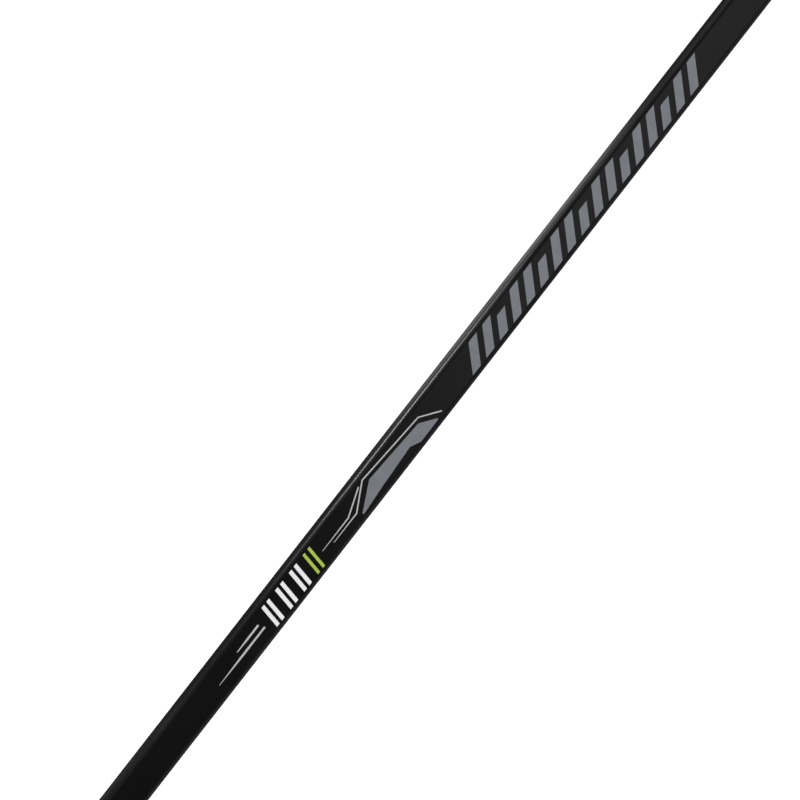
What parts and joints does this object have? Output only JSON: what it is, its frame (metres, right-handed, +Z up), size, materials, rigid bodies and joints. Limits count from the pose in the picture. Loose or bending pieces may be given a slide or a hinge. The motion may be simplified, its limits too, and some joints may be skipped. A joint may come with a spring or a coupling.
{
  "type": "ice hockey stick",
  "caption": "Ice hockey stick with a straight laminated wooden shaft of rectangular section and a curved right-handed blade, in black with grey striping.",
  "frame": {"origin": "on the flat sole of the blade just ahead of the heel, in the middle of the blade's thickness", "axes": "+Z up with the sole flat on z = 0; X along the blade with its toe towards -X and the shaft leaning towards +X; Y across the thickness with the forehand face towards -Y"},
  "size_m": [1.3493, 0.0277, 1.135],
  "materials": {
    "lacquer": "satin black lacquer over thin glass cloth",
    "glass_cloth": "resin-filled black glass cloth",
    "poplar": "sawn poplar",
    "birch": "sawn birch",
    "core_plastic": "moulded plastic",
    "ink": "grey print of the transfer film",
    "ink_white": "white print of the transfer film",
    "ink_green": "yellow-green print of the transfer film"
  },
  "bodies": {
    "root": {"shaft_lacquer_sleeve": "lacquer", "centre_poplar_ply": "poplar", "front_inner_poplar_ply": "poplar", "front_outer_poplar_ply": "poplar", "back_inner_poplar_ply": "poplar", "back_outer_poplar_ply": "poplar", "front_birch_ply": "birch", "back_birch_ply": "birch", "blade_front_veneer": "birch", "blade_back_veneer": "birch", "blade_core": "core_plastic", "blade_glass_wrap": "glass_cloth", "front_graphic_film": "ink", "back_graphic_film": "ink"}
  },
  "joints": []
}
